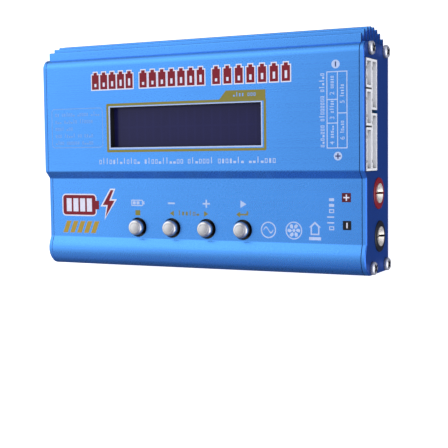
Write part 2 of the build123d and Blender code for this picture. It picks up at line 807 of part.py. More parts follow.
# ------------------------------------------------------------------ output sockets
collar_back_x = contact_back_x + 1.0
nut_flats_radius = 5.5
stud_radius = 1.5
stud_length = 2.5
slit_width = 0.8
slit_share = 0.7
collar_edge = 0.35
nut_thickness = 2.5
tag_radius = 2.8
tag_width = 3.6
tag_thickness = 0.8
for name, (y, z) in {"positive": positive_point, "negative": negative_point}.items():
    axis_plane = Plane((0, y, z), x_dir=(0, 1, 0), z_dir=(1, 0, 0))

    with BuildPart() as collar:
        with BuildSketch(axis_plane.offset(plate_face_x)):
            Circle(collar_radius)
        extrude(amount=collar_face_x - plate_face_x)
        fillet(edges().group_by(Axis.X)[-1], collar_edge)
        with BuildSketch(axis_plane.offset(collar_back_x)):
            Circle(collar_body_radius - 0.05)
        extrude(amount=plate_face_x - collar_back_x)
        with BuildSketch(axis_plane.offset(collar_back_x)):
            Circle(contact_radius + 0.02)
        extrude(amount=collar_face_x - collar_back_x, mode=Mode.SUBTRACT)
    collar.part.label = f"{name}_socket_collar"
    export_step(collar.part, f"parts/{name}_socket_collar.step")

    with BuildPart() as contact:
        with BuildSketch(axis_plane.offset(contact_back_x)):
            Circle(contact_radius)
        extrude(amount=contact_face_x - contact_back_x)
        with BuildSketch(axis_plane.offset(contact_face_x - contact_mouth_depth)):
            Circle(contact_bore_radius)
        extrude(amount=-contact_bore_depth, mode=Mode.SUBTRACT)
        # lead-in cone at the mouth
        with BuildSketch(axis_plane.offset(contact_face_x)):
            Circle(contact_mouth_radius)
        with BuildSketch(axis_plane.offset(contact_face_x - contact_mouth_depth)):
            Circle(contact_bore_radius)
        loft(mode=Mode.SUBTRACT)
        # slits above and below the bore let the tube grip a plug
        with BuildSketch(axis_plane.offset(contact_face_x)):
            Rectangle(slit_width, 3 * contact_radius)
        extrude(amount=-slit_share * contact_bore_depth, mode=Mode.SUBTRACT)
        with BuildSketch(axis_plane.offset(contact_back_x)):
            Circle(stud_radius)
        extrude(amount=-stud_length)
    contact.part.label = f"{name}_socket_contact"
    export_step(contact.part, f"parts/{name}_socket_contact.step")

with BuildPart() as socket_nuts:
    for y, z in (positive_point, negative_point):
        with BuildSketch(Plane((shell_half, y, z), x_dir=(0, 1, 0), z_dir=(1, 0, 0))):
            RegularPolygon(nut_flats_radius, 6, major_radius=False)
            Circle(collar_body_radius, mode=Mode.SUBTRACT)
        extrude(amount=-nut_thickness)
socket_nuts.part.label = "socket_nuts"
export_step(socket_nuts.part, "parts/socket_nuts.step")

with BuildPart() as output_tags:
    for y, z in (positive_point, negative_point):
        with BuildSketch(Plane((contact_back_x, y, z), x_dir=(0, 1, 0), z_dir=(1, 0, 0))):
            Circle(tag_radius)
            with Locations((0, (pcb_top_z - z) / 2)):
                Rectangle(tag_width, z - pcb_top_z)
            Circle(stud_radius + shank_clearance, mode=Mode.SUBTRACT)
        extrude(amount=-tag_thickness)
output_tags.part.label = "output_tags"
export_step(output_tags.part, "parts/output_tags.step")

# ------------------------------------------------------------------ power inlet and sensor socket
jack_plane = Plane((0, jack_y, jack_axis_z), x_dir=(0, -1, 0), z_dir=(-1, 0, 0))
jack_length = 14.0
jack_body_size = (9.6, 11.5)
jack_body_drop = 0.75
jack_pin_length = 10.0
jack_pin_tip = 0.5
with BuildPart() as inlet_jack:
    with BuildSketch(jack_plane.offset(shell_half - jack_length)):
        with Locations((0, -jack_body_drop)):
            Rectangle(*jack_body_size)
    extrude(amount=jack_length)
    with BuildSketch(jack_plane.offset(shell_half)):
        Circle(jack_collar_radius)
    extrude(amount=plate_thickness)
    with BuildSketch(jack_plane.offset(plate_face_x)):
        Circle(jack_bore_radius)
    extrude(amount=-jack_bore_depth, mode=Mode.SUBTRACT)
inlet_jack.part.label = "inlet_jack"
export_step(inlet_jack.part, "parts/inlet_jack.step")

with BuildPart() as inlet_pin:
    with BuildSketch(jack_plane.offset(plate_face_x - jack_bore_depth)):
        Circle(jack_pin_radius)
    extrude(amount=jack_pin_length)
    fillet(edges().group_by(Axis.X)[0], jack_pin_tip)
inlet_pin.part.label = "inlet_pin"
export_step(inlet_pin.part, "parts/inlet_pin.step")

sensor_length = 8.0
sensor_plane = Plane(
    (-plate_face_x + sensor_length, sensor_y, sensor_z), x_dir=(0, -1, 0), z_dir=(-1, 0, 0)
)
sensor_socket = xh_shroud(sensor_positions, sensor_plane, sensor_length)
sensor_socket.label = "sensor_socket"
export_step(sensor_socket, "parts/sensor_socket.step")

sensor_pins = xh_pins(sensor_positions, sensor_plane, sensor_length)
sensor_pins.label = "sensor_pins"
export_step(sensor_pins, "parts/sensor_pins.step")
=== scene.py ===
"""Looks of the balance charger: materials, printed graphics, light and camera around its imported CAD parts.

Row frame: X along the case, Y from its front face to its fins, Z up out of the control face. Metres;
names ending in _mm, and every printed shape, are in millimetres.
"""

import json
import math
import random

import bpy
from mathutils import Matrix, Vector


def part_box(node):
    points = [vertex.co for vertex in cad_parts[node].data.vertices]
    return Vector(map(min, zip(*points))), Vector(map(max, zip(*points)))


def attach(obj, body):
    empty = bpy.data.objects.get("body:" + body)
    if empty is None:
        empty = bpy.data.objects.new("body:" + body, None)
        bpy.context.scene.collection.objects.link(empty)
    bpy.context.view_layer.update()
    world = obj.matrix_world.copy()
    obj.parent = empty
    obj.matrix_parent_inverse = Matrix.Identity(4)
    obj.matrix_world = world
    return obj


MM = 0.001

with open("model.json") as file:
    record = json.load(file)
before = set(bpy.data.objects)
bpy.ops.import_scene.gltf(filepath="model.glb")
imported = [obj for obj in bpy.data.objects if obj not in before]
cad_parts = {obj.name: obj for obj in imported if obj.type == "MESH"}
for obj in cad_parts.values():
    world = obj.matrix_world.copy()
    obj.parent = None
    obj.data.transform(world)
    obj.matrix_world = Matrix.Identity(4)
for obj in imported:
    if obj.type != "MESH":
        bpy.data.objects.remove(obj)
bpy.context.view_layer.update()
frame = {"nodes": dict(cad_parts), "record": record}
nodes = frame["nodes"]
scene = bpy.context.scene

# heights in millimetres of the two printed panels and the display glass, from the CAD
PANEL_DROP = 2.66
UPPER_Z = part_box("upper_shell")[1].z / MM
LOWER_Z = UPPER_Z - PANEL_DROP
GLASS_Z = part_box("lcd_glass")[1].z / MM

# height of an ink that is printed over another one, in millimetres
OVERPRINT = 0.025


# ------------------------------------------------------------------ colours
def srgb(red, green, blue):
    """Linear colour of a display colour given as 0 to 255."""

    def linear(channel):
        share = channel / 255
        return share / 12.92 if share <= 0.04045 else ((share + 0.055) / 1.055) ** 2.4

    return (linear(red), linear(green), linear(blue), 1.0)


# ------------------------------------------------------------------ materials
class Surface:
    """A Principled material whose colour, roughness and height are built up from noise layers."""

    def __init__(self, name, colour, metallic=0.0, roughness=0.5, **constants):
        self.material = bpy.data.materials.new(name)
        self.material.use_nodes = True
        self.tree = self.material.node_tree
        self.shader = self.tree.nodes["Principled BSDF"]
        self.shader.inputs["Metallic"].default_value = metallic
        for socket, value in constants.items():
            self.shader.inputs[socket.replace("_", " ")].default_value = value
        self.position = self.tree.nodes.new("ShaderNodeTexCoord").outputs["Object"]
        self.colour = colour
        self.tone = 1.0
        self.rough = roughness
        self.height = 0.0
        self.tint = None

    def node(self, kind, **inputs):
        made = self.tree.nodes.new(kind)
        for socket, value in inputs.items():
            self.feed(made.inputs[socket.replace("_", " ")], value)
        return made

    def feed(self, socket, value):
        """Links value to a socket if it is a node's output, or sets it there if it is constant."""
        if isinstance(value, bpy.types.NodeSocket):
            self.tree.links.new(value, socket)
        else:
            socket.default_value = value

    def math(self, operation, *values):
        made = self.tree.nodes.new("ShaderNodeMath")
        made.operation = operation
        for socket, value in zip(made.inputs, values):
            self.feed(socket, value)
        return made.outputs[0]

    def spread(self, value, low, high, out_low, out_high, smooth=False):
        made = self.tree.nodes.new("ShaderNodeMapRange")
        made.interpolation_type = "SMOOTHSTEP" if smooth else "LINEAR"
        for socket, number in zip(made.inputs, (value, low, high, out_low, out_high)):
            self.feed(socket, number)
        return made.outputs[0]

    def scaled(self, scale):
        """The object's own coordinates times scale, in cycles per metre."""
        return self.node("ShaderNodeMapping", Vector=self.position, Scale=scale).outputs[0]

    def noise(self, scale, detail=3.0):
        """Noise from -1 to 1 with these cycles per metre along X, Y and Z."""
        made = self.node("ShaderNodeTexNoise", Vector=self.scaled(scale), Scale=1.0, Detail=detail)
        return self.spread(made.outputs[0], 0.3, 0.7, -1.0, 1.0)

    def layer(self, value, tone=0.0, rough=0.0, bump=0.0):
        """Adds a -1 to 1 pattern to the tone, the roughness and the height, which is in metres."""
        if tone:
            self.tone = self.math("MULTIPLY_ADD", value, tone, self.tone)
        if rough:
            self.rough = self.math("MULTIPLY_ADD", value, rough, self.rough)
        if bump:
            self.height = self.math("MULTIPLY_ADD", value, bump, self.height)
        return self

    def blend(self, mask, colour):
        """Mixes another colour in where mask is 1."""
        mix = self.tree.nodes.new("ShaderNodeMix")
        mix.data_type = "RGBA"
        self.feed(mix.inputs[0], mask)
        self.feed(mix.inputs[6], self.tint if self.tint is not None else self.colour)
        self.feed(mix.inputs[7], colour)
        self.tint = mix.outputs[2]
        return self

    def edges(self, radius):
        """0 on flat ground, up to 1 on an edge sharper than radius."""
        bevel = self.tree.nodes.new("ShaderNodeBevel")
        bevel.samples = 4
        bevel.inputs["Radius"].default_value = radius
        normal = self.tree.nodes.new("ShaderNodeNewGeometry").outputs["Normal"]
        turn = self.tree.nodes.new("ShaderNodeVectorMath")
        turn.operation = "DOT_PRODUCT"
        self.feed(turn.inputs[0], bevel.outputs[0])
        self.feed(turn.inputs[1], normal)
        return self.spread(turn.outputs["Value"], 0.99, 0.86, 0.0, 1.0, smooth=True)

    def hollows(self, distance, share, closed=0.1, clear=0.8):
        """Paints shade: takes up to this share of the tone away in narrow hollows, where little light
        reaches.
        """
        shade = self.node("ShaderNodeAmbientOcclusion", Distance=distance)
        shade.samples = 6
        kept = self.spread(shade.outputs["AO"], closed, clear, 1 - share, 1.0)
        self.tone = self.math("MULTIPLY", self.tone, kept)
        return self

    def done(self):
        """Wires what was built up into the shader and returns the material."""
        scale = self.tree.nodes.new("ShaderNodeVectorMath")
        scale.operation = "SCALE"
        base = self.tint if self.tint is not None else self.colour[:3]
        self.feed(scale.inputs[0], base)
        self.feed(scale.inputs["Scale"], self.tone)
        self.feed(self.shader.inputs["Base Color"], scale.outputs[0])
        self.feed(self.shader.inputs["Roughness"], self.rough)
        if self.height != 0.0:
            bump = self.node("ShaderNodeBump", Height=self.height, Distance=1.0)
            self.feed(self.shader.inputs["Normal"], bump.outputs[0])
        return self.material


def anodised(name, colour, shaded_end_colour, roughness):
    """Bead-blasted, dyed aluminium: fine grain, faint lines along X, ends painted a deeper blue as painted
    shade, edges painted paler as a painted highlight, painted shade in narrow hollows.
    """
    made = Surface(name, colour, metallic=0.8, roughness=roughness, Specular_IOR_Level=0.35)
    # painted shade: faces pointing along X, the ends and the roundings towards them, take the darker end
    # colour
    facing = made.node("ShaderNodeSeparateXYZ")
    made.feed(facing.inputs[0], made.tree.nodes.new("ShaderNodeTexCoord").outputs["Normal"])
    along = made.math("ABSOLUTE", facing.outputs["X"])
    made.blend(made.spread(along, 0.3, 0.75, 0.0, 1.0), shaded_end_colour)
    # painted highlight: a pale blue laid along the sharp edges
    made.blend(made.math("MULTIPLY", made.edges(0.35 * MM), 0.2), srgb(150, 205, 255))
    made.layer(made.noise((18, 26, 26)), tone=0.05, rough=0.02)
    made.layer(made.noise((8, 900, 900)), tone=0.02, rough=0.02)
    made.layer(made.noise((3200, 3200, 3200), detail=2.0), tone=0.03, rough=0.04, bump=0.000005)
    # painted shade: darker in the narrow gaps and grooves of the case and plate
    made.hollows(2.0 * MM, 0.6)
    return made.done()


def plastic(name, colour, roughness=0.45, grain=0.000006, hollow_shade=0.0, **constants):
    """Moulded plastic: soft mottling and a fine spark-eroded grain."""
    made = Surface(name, colour, roughness=roughness, **constants)
    made.layer(made.noise((120, 120, 120)), tone=0.04, rough=0.04)
    made.layer(made.noise((5200, 5200, 5200), detail=2.0), tone=0.02, rough=0.05, bump=grain)
    # painted shade: the tone darkens in narrow hollows, where little light reaches
    if hollow_shade:
        made.hollows(4.0 * MM, hollow_shade, closed=0.35)
    return made.done()


def bright_metal(
    name, colour, roughness=0.25, brush=(4500, 4500, 4500), bump=0.000003, metallic=1.0, hollow_shade=0.0
):
    """Plated or bare metal with fine brushing and slight clouding."""
    made = Surface(name, colour, metallic=metallic, roughness=roughness)
    made.layer(made.noise((260, 260, 260)), tone=0.06, rough=0.05)
    made.layer(made.noise(brush, detail=2.0), tone=0.04, rough=0.06, bump=bump)
    # painted shade: the tone darkens in narrow hollows, where little light reaches
    if hollow_shade:
        made.hollows(2.0 * MM, hollow_shade, closed=0.5, clear=0.95)
    return made.done()


def circuit_board(name, colour):
    """Solder mask over copper: paler tracks round a cell pattern, with small bright pads."""
    made = Surface(name, colour, roughness=0.38, Coat_Weight=0.25)
    cells = made.node("ShaderNodeTexVoronoi", Vector=made.scaled((260, 260, 260)), Scale=1.0)
    cells.feature = "DISTANCE_TO_EDGE"
    track = made.spread(cells.outputs["Distance"], 0.03, 0.06, 1.0, 0.0, smooth=True)
    made.blend(made.math("MULTIPLY", track, 0.6), srgb(88, 168, 98))
    dots = made.node("ShaderNodeTexVoronoi", Vector=made.scaled((330, 330, 330)), Scale=1.0)
    pad = made.spread(dots.outputs["Distance"], 0.13, 0.16, 1.0, 0.0, smooth=True)
    made.blend(pad, srgb(196, 200, 196))
    made.layer(track, bump=0.00002)
    made.layer(made.noise((900, 900, 900)), tone=0.05, rough=0.05)
    return made.done()


def printed(name, colour):
    """Screen-printed ink: nearly even, with slight thin spots."""
    made = Surface(name, colour, roughness=0.55, Specular_IOR_Level=0.3)
    made.layer(made.noise((700, 700, 700)), tone=0.05, rough=0.05)
    made.layer(made.noise((2500, 2500, 2500), detail=2.0), tone=0.03, bump=0.000002)
    return made.done()


def display_glass():
    """Unlit character display: two rows of sixteen faint cells under smooth glass."""
    made = Surface("display_glass", srgb(28, 28, 72), roughness=0.22, Specular_IOR_Level=0.2)
    low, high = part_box("lcd_glass")
    margin = 6.0 * MM
    cells = made.node("ShaderNodeTexBrick", Scale=1.0, Mortar_Size=0.00042, Mortar_Smooth=0.2)
    cells.offset = 0.0
    cells.squash = 1.0
    cells.inputs["Brick Width"].default_value = 0.00356
    cells.inputs["Row Height"].default_value = 0.0062
    shift = made.node("ShaderNodeMapping", Vector=made.position)
    shift.inputs["Location"].default_value = (-low.x - margin, -(low.y + high.y) / 2, 0.0)
    made.feed(cells.inputs["Vector"], shift.outputs[0])
    made.feed(cells.inputs["Color1"], (0, 0, 0, 1))
    made.feed(cells.inputs["Color2"], (0, 0, 0, 1))
    made.feed(cells.inputs["Mortar"], (1, 1, 1, 1))
    made.layer(cells.outputs["Fac"], tone=0.10)
    made.layer(made.noise((90, 90, 90)), tone=0.06, rough=0.03)
    return made.done()


def enamelled_wire():
    """Copper winding: each turn catches the light and dips between its neighbours."""
    made = Surface("copper", srgb(196, 108, 52), metallic=0.9, roughness=0.3, Coat_Weight=0.5)
    made.layer(made.noise((1400, 1400, 200)), tone=0.12, rough=0.08, bump=0.00001)
    return made.done()


CASE_BLUE = (0.075, 0.295, 0.78, 1.0)
# darker blue painted on the ends as painted shade
SHADED_END_BLUE = (0.019, 0.108, 0.52, 1.0)

# the hollow settings below paint shade into narrow hollows: screw slots, button rims, socket cavities and
# the red collar
MATERIALS = {
    "blue_case": anodised("blue_case", CASE_BLUE, SHADED_END_BLUE, 0.28),
    "blue_plate": anodised("blue_plate", CASE_BLUE, SHADED_END_BLUE, 0.38),
    "screw_steel": bright_metal("screw_steel", srgb(226, 227, 230), 0.24, metallic=0.55, hollow_shade=0.97),
    "foot_rubber": plastic("foot_rubber", srgb(28, 28, 30), 0.8, 0.00003),
    "board_green": circuit_board("board_green", srgb(20, 96, 52)),
    "standoff_brass": bright_metal("standoff_brass", srgb(206, 172, 98), 0.3, (400, 400, 4000)),
    "black_plastic": plastic("black_plastic", srgb(24, 24, 27)),
    "ferrite": plastic("ferrite", srgb(52, 54, 58), 0.7, 0.00002),
    "copper": enamelled_wire(),
    "can_aluminium": bright_metal("can_aluminium", srgb(198, 202, 208), 0.35, (500, 500, 5000)),
    "chip_ceramic": plastic("chip_ceramic", srgb(34, 35, 38), 0.6, 0.00001),
    "heat_aluminium": bright_metal("heat_aluminium", srgb(180, 184, 190), 0.42, (200, 4000, 4000)),
    "display_glass": display_glass(),
    "backlight": plastic("backlight", srgb(226, 228, 222), 0.6, 0.00001),
    "bezel_black": plastic("bezel_black", srgb(16, 16, 18), 0.5),
    "button_chrome": bright_metal("button_chrome", srgb(190, 190, 193), 0.14, metallic=0.9, hollow_shade=0.96),
    "plunger_plastic": plastic("plunger_plastic", srgb(15, 15, 18), 0.35),
    "socket_white": plastic("socket_white", srgb(255, 255, 255), 0.42, hollow_shade=0.75),
    "pin_tin": bright_metal("pin_tin", srgb(200, 202, 206), 0.3),
    "collar_red": plastic("collar_red", srgb(138, 16, 26), 0.35, hollow_shade=0.7),
    "collar_black": plastic("collar_black", srgb(20, 20, 24), 0.35),
    "contact_nickel": bright_metal(
        "contact_nickel", srgb(244, 238, 226), 0.3, (300, 5000, 5000), metallic=0.45
    ),
}

for part in frame["record"]["subparts"]:
    mesh = nodes[part["node"]].data
    mesh.materials.clear()
    mesh.materials.append(MATERIALS[part["material_slot"]])

INK_RED = printed("ink_red", srgb(124, 4, 30))
INK_MAROON = printed("ink_maroon", srgb(84, 8, 18))
INK_WHITE = printed("ink_white", srgb(226, 226, 238))
INK_PALE = printed("ink_pale", srgb(182, 200, 234))
INK_GREY = printed("ink_grey", srgb(122, 166, 224))
INK_GOLD = printed("ink_gold", srgb(134, 126, 50))
INK_AMBER = printed("ink_amber", srgb(176, 146, 50))
INK_BLACK = printed("ink_black", srgb(4, 4, 8))
INK_NAVY = printed("ink_navy", srgb(16, 30, 92))


# ------------------------------------------------------------------ flat shapes, in millimetres
def box(x0, y0, x1, y1, radius=0.0, steps=4):
    """Outline of a rectangle with rounded corners."""
    if radius <= 0:
        return [(x0, y0), (x1, y0), (x1, y1), (x0, y1)]
    corners = [(x1 - radius, y0 + radius, -90), (x1 - radius, y1 - radius, 0)]
    corners += [(x0 + radius, y1 - radius, 90), (x0 + radius, y0 + radius, 180)]
    points = []
    for cx, cy, start in corners:
        for i in range(steps + 1):
            angle = math.radians(start + 90 * i / steps)
            points.append((cx + radius * math.cos(angle), cy + radius * math.sin(angle)))
    return points


def disc(x, y, radius, steps=28):
    """Outline of a circle."""
    turn = [math.tau * i / steps for i in range(steps)]
    return [(x + radius * math.cos(a), y + radius * math.sin(a)) for a in turn]


def ring(x, y, radius, line):
    """Outlines of a circle drawn with a line of this width."""
    return [disc(x, y, radius), disc(x, y, radius - line)]


def hollow_box(x0, y0, x1, y1, radius, line):
    """Outlines of a rectangle drawn with a line of this width inside its edge."""
    inner = max(radius - line, 0.0)
    return [
        box(x0, y0, x1, y1, radius),
        box(x0 + line, y0 + line, x1 - line, y1 - line, inner),
    ]


def triangle(x, y, size, heading):
    """Outline of a triangle that points along heading, in degrees."""
    angles = [math.radians(heading + step) for step in (0, 120, 240)]
    return [(x + size * math.cos(a), y + size * math.sin(a)) for a in angles]


def plus_mark(x, y, reach, line):
    """Outline of a plus sign."""
    a, b = reach, line / 2
    right = [(b, -a), (b, -b), (a, -b), (a, b)]
    corners = [(b, b), (b, a), (-b, a), (-b, b), (-a, b), (-a, -b), (-b, -b), (-b, -a), *right]
    return [(x + px, y + py) for px, py in corners]


def bar_mark(x, y, reach, line):
    """Outline of a minus sign, upright for a reader at the socket end."""
    return box(x - line / 2, y - reach, x + line / 2, y + reach)


def moved(points, x, y, turn=0.0):
    """An outline turned by degrees and then moved."""
    c, s = math.cos(math.radians(turn)), math.sin(math.radians(turn))
    return [(x + px * c - py * s, y + px * s + py * c) for px, py in points]


# the least share of a corner's bevel that grown() divides by, so that sharp corners don't run away
SHARPEST = 0.45


def grown(points, amount):
    """A convex or nearly convex outline pushed out by amount."""
    count = len(points)
    area = sum(
        points[i][0] * points[(i + 1) % count][1] - points[(i + 1) % count][0] * points[i][1]
        for i in range(count)
    )
    side = 1 if area > 0 else -1
    out = []
    for i in range(count):
        before, here, after = (Vector(points[(i + k) % count]) for k in (-1, 0, 1))
        first, second = (here - before).normalized(), (after - here).normalized()
        n1 = Vector((first.y, -first.x)) * side
        n2 = Vector((second.y, -second.x)) * side
        miter = (n1 + n2).normalized()
        out.append(tuple(here + miter * (amount / max(miter.dot(n1), SHARPEST))))
    return out


def print_on(name, outlines, height_mm, material, thickness_mm=0.02):
    """A thin printed layer on a horizontal panel; an outline inside another is a hole in it."""
    curve = bpy.data.curves.new(name, "CURVE")
    curve.dimensions = "2D"
    curve.fill_mode = "BOTH"
    curve.extrude = thickness_mm * MM / 2
    for points in outlines:
        spline = curve.splines.new("POLY")
        spline.points.add(len(points) - 1)
        for point, (x, y) in zip(spline.points, points):
            point.co = (x * MM, y * MM, 0.0, 1.0)
        spline.use_cyclic_u = True
    scratch = bpy.data.objects.new(name + "_outline", curve)
    return piece_from(scratch, name, height_mm + thickness_mm / 2, material)


def piece_from(scratch, name, height_mm, material, place=Matrix.Identity(4)):
    """Turns a curve or text object into a mesh piece at this height, on the case."""
    scene.collection.objects.link(scratch)
    bpy.context.view_layer.update()
    mesh = bpy.data.meshes.new_from_object(scratch.evaluated_get(bpy.context.evaluated_depsgraph_get()))
    bpy.data.objects.remove(scratch)
    mesh.transform(Matrix.Translation((0, 0, height_mm * MM)) @ place)
    mesh.materials.clear()
    mesh.materials.append(material)
    piece = bpy.data.objects.new(name, mesh)
    scene.collection.objects.link(piece)
    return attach(piece, "case")


DIGIT_THICKNESS = 0.02


def digit(name, text, x, y, size_mm, height_mm, material, turn=0.0):
    """A printed number."""
    text_curve = bpy.data.curves.new(name, "FONT")
    text_curve.body = text
    text_curve.size = size_mm * MM
    text_curve.align_x = "CENTER"
    text_curve.align_y = "CENTER"
    text_curve.extrude = DIGIT_THICKNESS * MM / 2
    scratch = bpy.data.objects.new(name + "_text", text_curve)
    place = Matrix.Translation((x * MM, y * MM, 0)) @ Matrix.Rotation(math.radians(turn), 4, "Z")
    return piece_from(scratch, name, height_mm + DIGIT_THICKNESS / 2, material, place)


# tick_text marks: width as a share of the pitch, reach of short and tall ones as shares of the height
MARK_WIDTH = 0.68
SHORT_REACH = 0.36
TALL_REACH = 0.64
TALL_LINES = 2.4


def tick_text(start, end, middle, height, words, seed, pitch=None, upright=True, line=0.26):
    """Ticks and small frames in word-like groups along a line, in place of lettering."""
    chooser = random.Random(seed)
    total = sum(words) + len(words) - 1
    pitch = pitch or (end - start) / total
    width = pitch * MARK_WIDTH
    high = height * SHORT_REACH
    low = -high
    tall = height * TALL_REACH
    outlines = []
    place = start
    for letters in words:
        for _ in range(letters):
            kind = chooser.choice(("frame", "frame", "block", "low", "tall"))
            edge = place + width
            glyph = {
                "frame": [(place, low, edge, high), (place + line, low + line, edge - line, high - line)],
                "block": [(place + line / 2, low, edge - line / 2, high)],
                "low": [(place, low, edge, 0.0)],
                "tall": [(place + line, low, place + TALL_LINES * line, tall)],
            }[kind]
            for x0, y0, x1, y1 in glyph:
                if upright:
                    outlines.append(box(x0, middle + y0, x1, middle + y1))
                else:
                    outlines.append(box(middle - y1, x0, middle - y0, x1))
            place += pitch
        place += pitch
    return outlines


# ------------------------------------------------------------------ upper panel graphics
CELL_WIDTH = 3.15
CELL_HEIGHT = 5.5
TERMINAL_WIDTH = 1.5
TERMINAL_HEIGHT = 0.95
OUTLINE = 0.42
FINE_LINE = 0.22


def cell_outline(x, y):
    """Upright battery cell, its lower left corner at x, y."""
    middle = x + CELL_WIDTH / 2
    top = y + CELL_HEIGHT
    half = TERMINAL_WIDTH / 2
    return [
        (x, y),
        (x + CELL_WIDTH, y),
        (x + CELL_WIDTH, top),
        (middle + half, top),
        (middle + half, top + TERMINAL_HEIGHT),
        (middle - half, top + TERMINAL_HEIGHT),
        (middle - half, top),
        (x, top),
    ]


# each group of cells as the x of its two ends and its count
TITLE_GROUPS = [(-43.3, -24.9, 5), (-21.9, 5.7, 7), (8.9, 39.5, 7)]
TITLE_Y = 24.95

# the window in each cell: its inset at the sides and the bottom, its least height and how much it rises
INSET_X = 1.1
INSET_Y = 1.0
LEVEL_LOW = 0.8
LEVEL_RISE = 1.9

# neighbouring pale edges touch, so every other one is printed this much higher
STAGGER = 0.002

red_shapes, white_shapes = [], []
for first_x, last_x, count in TITLE_GROUPS:
    pitch = (last_x - first_x - CELL_WIDTH) / (count - 1)
    for i in range(count):
        x = first_x + i * pitch
        shape = cell_outline(x, TITLE_Y)
        red_shapes.append(shape)
        white_shapes.append(grown(shape, OUTLINE))
        bottom = TITLE_Y + INSET_Y
        level = LEVEL_LOW + LEVEL_RISE * ((i + 1) / count)
        red_shapes.append(box(x + INSET_X, bottom, x + CELL_WIDTH - INSET_X, bottom + level))
for i, shape in enumerate(white_shapes):
    print_on(f"title_cell_edge_{i}", [shape], UPPER_Z + STAGGER * (i % 2), INK_WHITE)
print_on("title_cells", red_shapes, UPPER_Z + OVERPRINT, INK_RED)

subtitle = tick_text(-40.6, 34.2, -2.9, 2.3, (12, 11, 7, 7, 7), 3)
print_on("subtitle_ticks", subtitle, UPPER_Z, INK_PALE)

# gold frame round the display with its line's width, and the window's own edges
FRAME_X0, FRAME_X1, FRAME_Y0, FRAME_Y1 = -37.0, 30.2, 0.75, 19.35
FRAME_RADIUS = 0.5
FRAME_LINE = 0.95
WINDOW_X0, WINDOW_X1, WINDOW_Y0, WINDOW_Y1 = -35.4, 28.2, 2.55, 17.95
display_frame = hollow_box(FRAME_X0, FRAME_Y0, FRAME_X1, FRAME_Y1, FRAME_RADIUS, FRAME_LINE)
print_on("display_frame", display_frame, UPPER_Z, INK_GOLD)
# painted highlight: a pale ring printed round the window, where its chamfered edge catches the light
print_on(
    "window_rim_painted_highlight",
    [
        box(WINDOW_X0 - 0.55, WINDOW_Y0 - 0.5, WINDOW_X1 + 0.5, WINDOW_Y1 + 0.35),
        box(WINDOW_X0, WINDOW_Y0, WINDOW_X1, WINDOW_Y1),
    ],
    UPPER_Z,
    INK_PALE,
)

# painted shade: a dark sheet along the window's sides, where the walls lie in shade, from just over the
# glass to just under the face
WALL_SHADE_GAP = 0.02
WALL_SHADE_WIDTH = 0.2
WALL_SHADE_LIFT = 0.05
WALL_SHADE_SHORTER = 0.2
wall_shade_sheet = hollow_box(
    WINDOW_X0 + WALL_SHADE_GAP,
    WINDOW_Y0 + WALL_SHADE_GAP,
    WINDOW_X1 - WALL_SHADE_GAP,
    WINDOW_Y1 - WALL_SHADE_GAP,
    0.0,
    WALL_SHADE_WIDTH,
)
wall_shade_height = UPPER_Z - GLASS_Z - WALL_SHADE_SHORTER
print_on("window_wall_painted_shade", wall_shade_sheet, GLASS_Z + WALL_SHADE_LIFT, MATERIALS["bezel_black"], wall_shade_height)

print_on("frame_tab", [[(11.6, 19.35), (30.0, 19.35), (30.0, 22.35), (14.3, 22.5)]], UPPER_Z, INK_GOLD)
tab_ticks = tick_text(17.2, 26.5, 20.8, 1.6, (4, 3), 9, line=FINE_LINE)
print_on("frame_tab_ticks", tab_ticks, UPPER_Z + OVERPRINT, INK_GREY)

# specification block: the length of each word in each row
SPEC_ROWS = [(2, 6, 5, 4), (3, 6, 6), (4, 3), (3, 5, 2, 4), (4, 6, 5)]
SPEC_X = -60.9
SPEC_TOP_Y = 15.55
SPEC_ROW_STEP = 2.75
SPEC_SEED = 20
spec_ticks = []
for row, words in enumerate(SPEC_ROWS):
    y = SPEC_TOP_Y - row * SPEC_ROW_STEP
    spec_ticks += tick_text(SPEC_X, None, y, 1.7, words, SPEC_SEED + row, pitch=1.05, line=FINE_LINE)
print_on("specification_ticks", spec_ticks, UPPER_Z, INK_GREY)
print_on("specification_frame", hollow_box(-62.7, 2.65, -38.7, 18.05, 1.4, 0.3), UPPER_Z, INK_GREY)

# socket table: digits tell how many cells each balance socket is for
TABLE_X = (53.0, 57.0, 60.6)
TABLE_Y = (1.25, 27.35)
LINE = 0.34
left_split, right_split = (17.9, 9.8), (13.2,)
table_cells = []
column = [TABLE_Y[1], *left_split, TABLE_Y[0]]
for top, bottom in zip(column, column[1:]):
    table_cells.append(box(TABLE_X[0] + LINE, bottom + LINE / 2, TABLE_X[1] - LINE / 2, top - LINE / 2))
column = [TABLE_Y[1], *right_split, TABLE_Y[0]]
for top, bottom in zip(column, column[1:]):
    table_cells.append(box(TABLE_X[1] + LINE / 2, bottom + LINE / 2, TABLE_X[2] - LINE, top - LINE / 2))
table_outline = box(TABLE_X[0], TABLE_Y[0] - LINE / 2, TABLE_X[2], TABLE_Y[1] + LINE / 2)
print_on("socket_table", [table_outline, *table_cells], UPPER_Z, INK_PALE)
for cells, x, y in ((2, 55.1, 20.0), (3, 55.1, 11.6), (4, 55.1, 3.0), (5, 58.8, 17.0), (6, 58.8, 4.6)):
    digit(f"table_digit_{cells}", str(cells), x, y, 2.4, UPPER_Z, INK_PALE, turn=90)
    marks = tick_text(y + 1.7, None, x, 1.5, (5,), cells, pitch=0.9, upright=False, line=0.2)
    print_on(f"table_marks_{cells}", marks, UPPER_Z, INK_PALE)
table_title = tick_text(1.6, 27.3, 51.5, 1.9, (7, 8, 6), 31, upright=False, line=FINE_LINE)
print_on("table_title_ticks", table_title, UPPER_Z, INK_PALE)

# pin polarity marks above and below the table
for name, x, y in (("minus", 56.35, 29.9), ("plus", 57.1, -1.55)):
    print_on(f"pin_{name}_disc", [disc(x, y, 1.5)], UPPER_Z, INK_PALE)
    mark = plus_mark(x, y, 0.95, 0.42) if name == "plus" else bar_mark(x, y, 0.85, 0.4)
    print_on(f"pin_{name}_mark", [mark], UPPER_Z + OVERPRINT, INK_NAVY)

